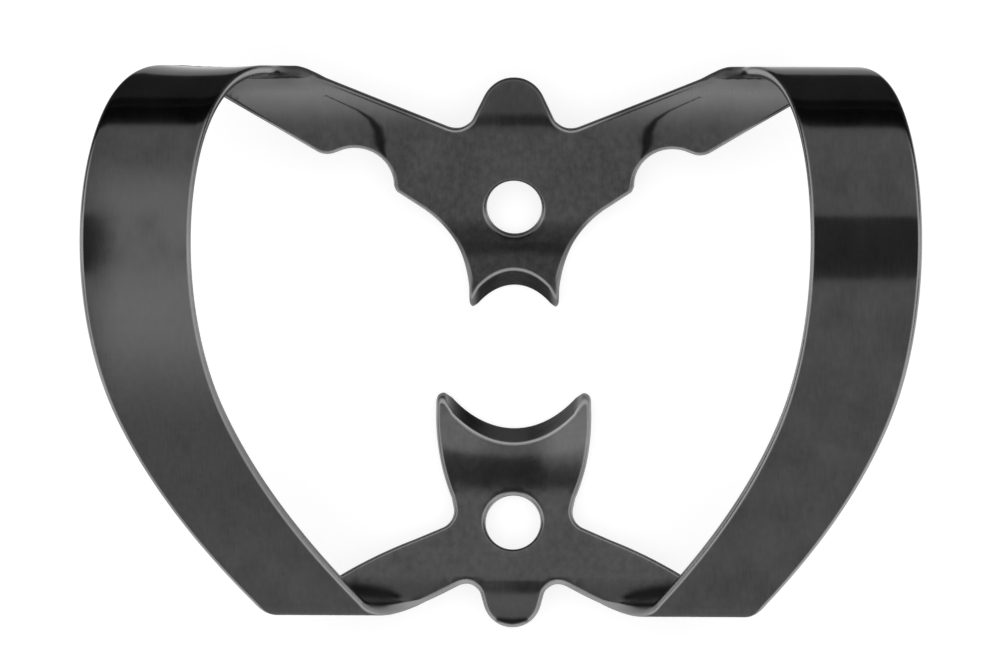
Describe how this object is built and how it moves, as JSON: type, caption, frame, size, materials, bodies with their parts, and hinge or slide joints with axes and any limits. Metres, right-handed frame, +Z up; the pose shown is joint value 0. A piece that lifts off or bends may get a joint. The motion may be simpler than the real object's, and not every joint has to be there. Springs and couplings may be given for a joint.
{
  "type": "rubber dam clamp",
  "caption": "Bent spring-steel rubber dam clamp: a narrow and a broad holed jaw with notched prongs, joined by arched bows, grips a front tooth to hold a dam.",
  "frame": {"origin": "centre of the bounding box in X and Y, on the level that both jaws rest on", "axes": "+X from one bow to the other, +Y from the broad jaw to the narrow jaw, +Z up to the bows"},
  "size_m": [0.0368, 0.0248, 0.0117],
  "materials": {
    "black_steel": "satin black, with fine grain and brighter worn edges"
  },
  "bodies": {
    "root": {"clamp": "black_steel"}
  },
  "joints": []
}
